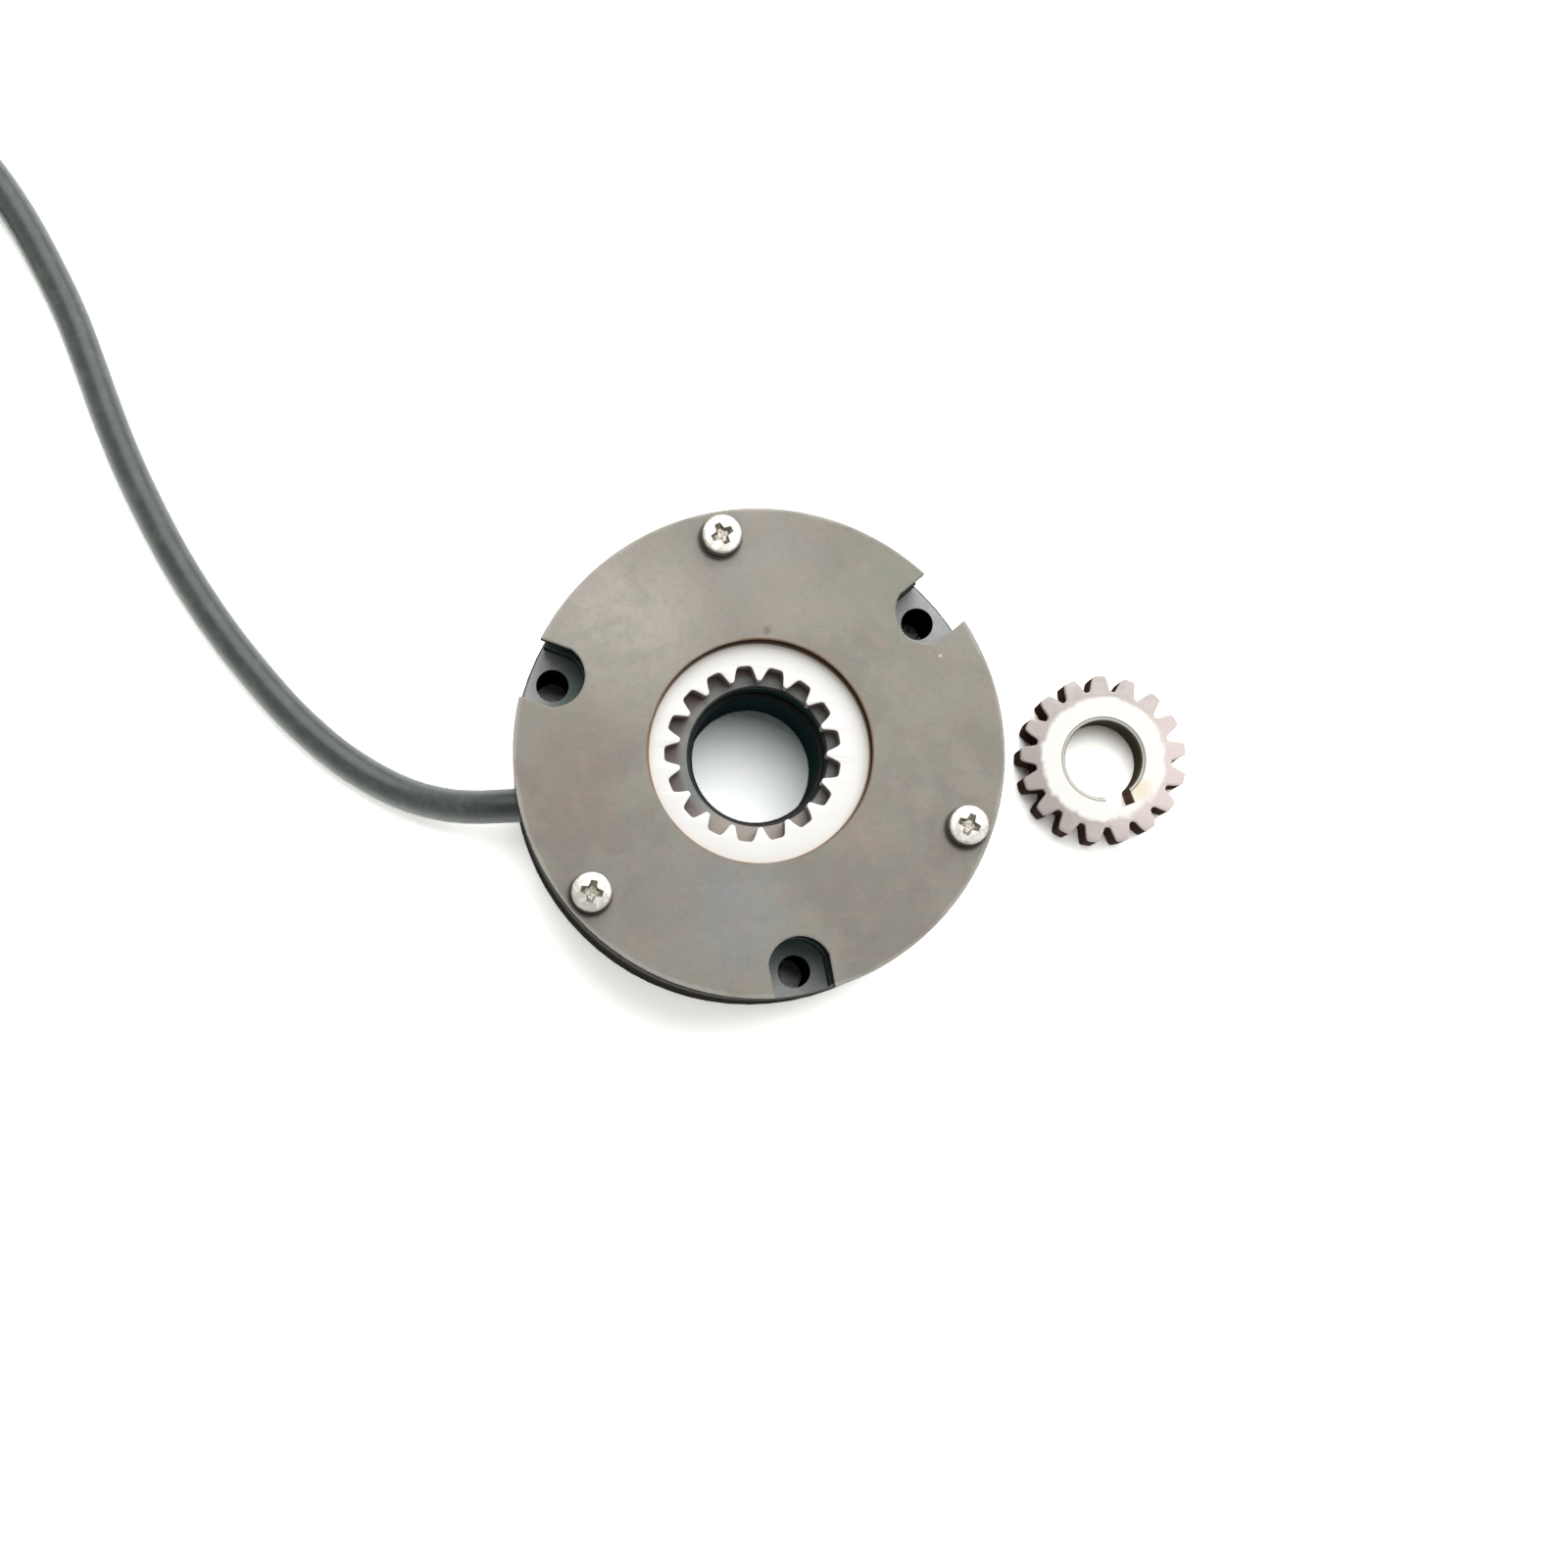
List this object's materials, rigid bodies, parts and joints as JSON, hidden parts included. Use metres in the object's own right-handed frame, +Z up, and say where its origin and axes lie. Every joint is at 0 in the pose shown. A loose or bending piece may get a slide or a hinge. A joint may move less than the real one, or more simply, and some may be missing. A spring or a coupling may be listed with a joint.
{
  "type": "spring applied brake",
  "caption": "Round spring applied disc brake: stator, armature, toothed rotor and notched side plate in a stack, with its keyed toothed hub lying beside it and a coiled cable.",
  "frame": {"origin": "on the surface that the brake and its hub lie on, under the middle of the box that holds the two", "axes": "+Z up along the brake's axis from the stator's rear face to the side plate, +X from the brake to the hub beside it"},
  "size_m": [0.2893, 0.177, 0.0337],
  "materials": {
    "blackened_steel": "turned steel with a thin dark oxide coat",
    "bobbin_plastic": "moulded, natural colour",
    "enamelled_copper": "enamelled copper wire",
    "potting_resin": "cast black resin",
    "spring_steel": "drawn spring wire",
    "armature_steel": "ground steel, slightly dull",
    "ground_steel": "bright ground steel",
    "friction_lining": "moulded friction material, dull",
    "phosphated_steel": "phosphated grey steel with a soft mottle",
    "nickel_plate": "bright nickel plate",
    "sintered_steel": "fine matt machined steel, warm grey",
    "bush_rubber": "moulded black rubber",
    "cable_sheath": "smooth dull black sheath",
    "lead_red": "smooth insulation",
    "lead_black": "smooth insulation",
    "tinned_copper": "tinned, slightly dull"
  },
  "bodies": {
    "stator": {"stator_housing": "blackened_steel", "coil_bobbin": "bobbin_plastic", "coil_winding": "enamelled_copper", "potting_ring": "potting_resin", "torque_spring_1": "spring_steel", "torque_spring_2": "spring_steel", "torque_spring_3": "spring_steel", "torque_spring_4": "spring_steel", "torque_spring_5": "spring_steel", "torque_spring_6": "spring_steel", "side_plate": "phosphated_steel", "spacer_1": "nickel_plate", "spacer_2": "nickel_plate", "spacer_3": "nickel_plate", "plate_screw_1": "nickel_plate", "plate_screw_2": "nickel_plate", "plate_screw_3": "nickel_plate", "rotor_hub": "sintered_steel", "cable_bush": "bush_rubber", "brake_cable": "cable_sheath", "cable_coil": "cable_sheath", "lead_1": "lead_red", "lead_2": "lead_black", "ferrule_1": "tinned_copper", "ferrule_2": "tinned_copper"},
    "armature": {"armature_plate": "armature_steel"},
    "rotor": {"rotor_carrier": "ground_steel", "friction_lining_lower": "friction_lining", "friction_lining_upper": "friction_lining"}
  },
  "joints": [
    {"name": "armature_release", "type": "slide", "parent": "stator", "child": "armature", "axis": [0, 0, 1], "range_m": [-0.0002, 0], "stiffness_N_per_m": 3000, "springref_m": 0.004, "deforming": ["torque_spring_1", "torque_spring_2", "torque_spring_3", "torque_spring_4", "torque_spring_5", "torque_spring_6"]},
    {"name": "rotor_spin", "type": "hinge", "parent": "stator", "child": "rotor", "pos_m": [-0.01935, -0.0001, 0.02565], "axis": [0, 0, 1], "continuous": true}
  ]
}
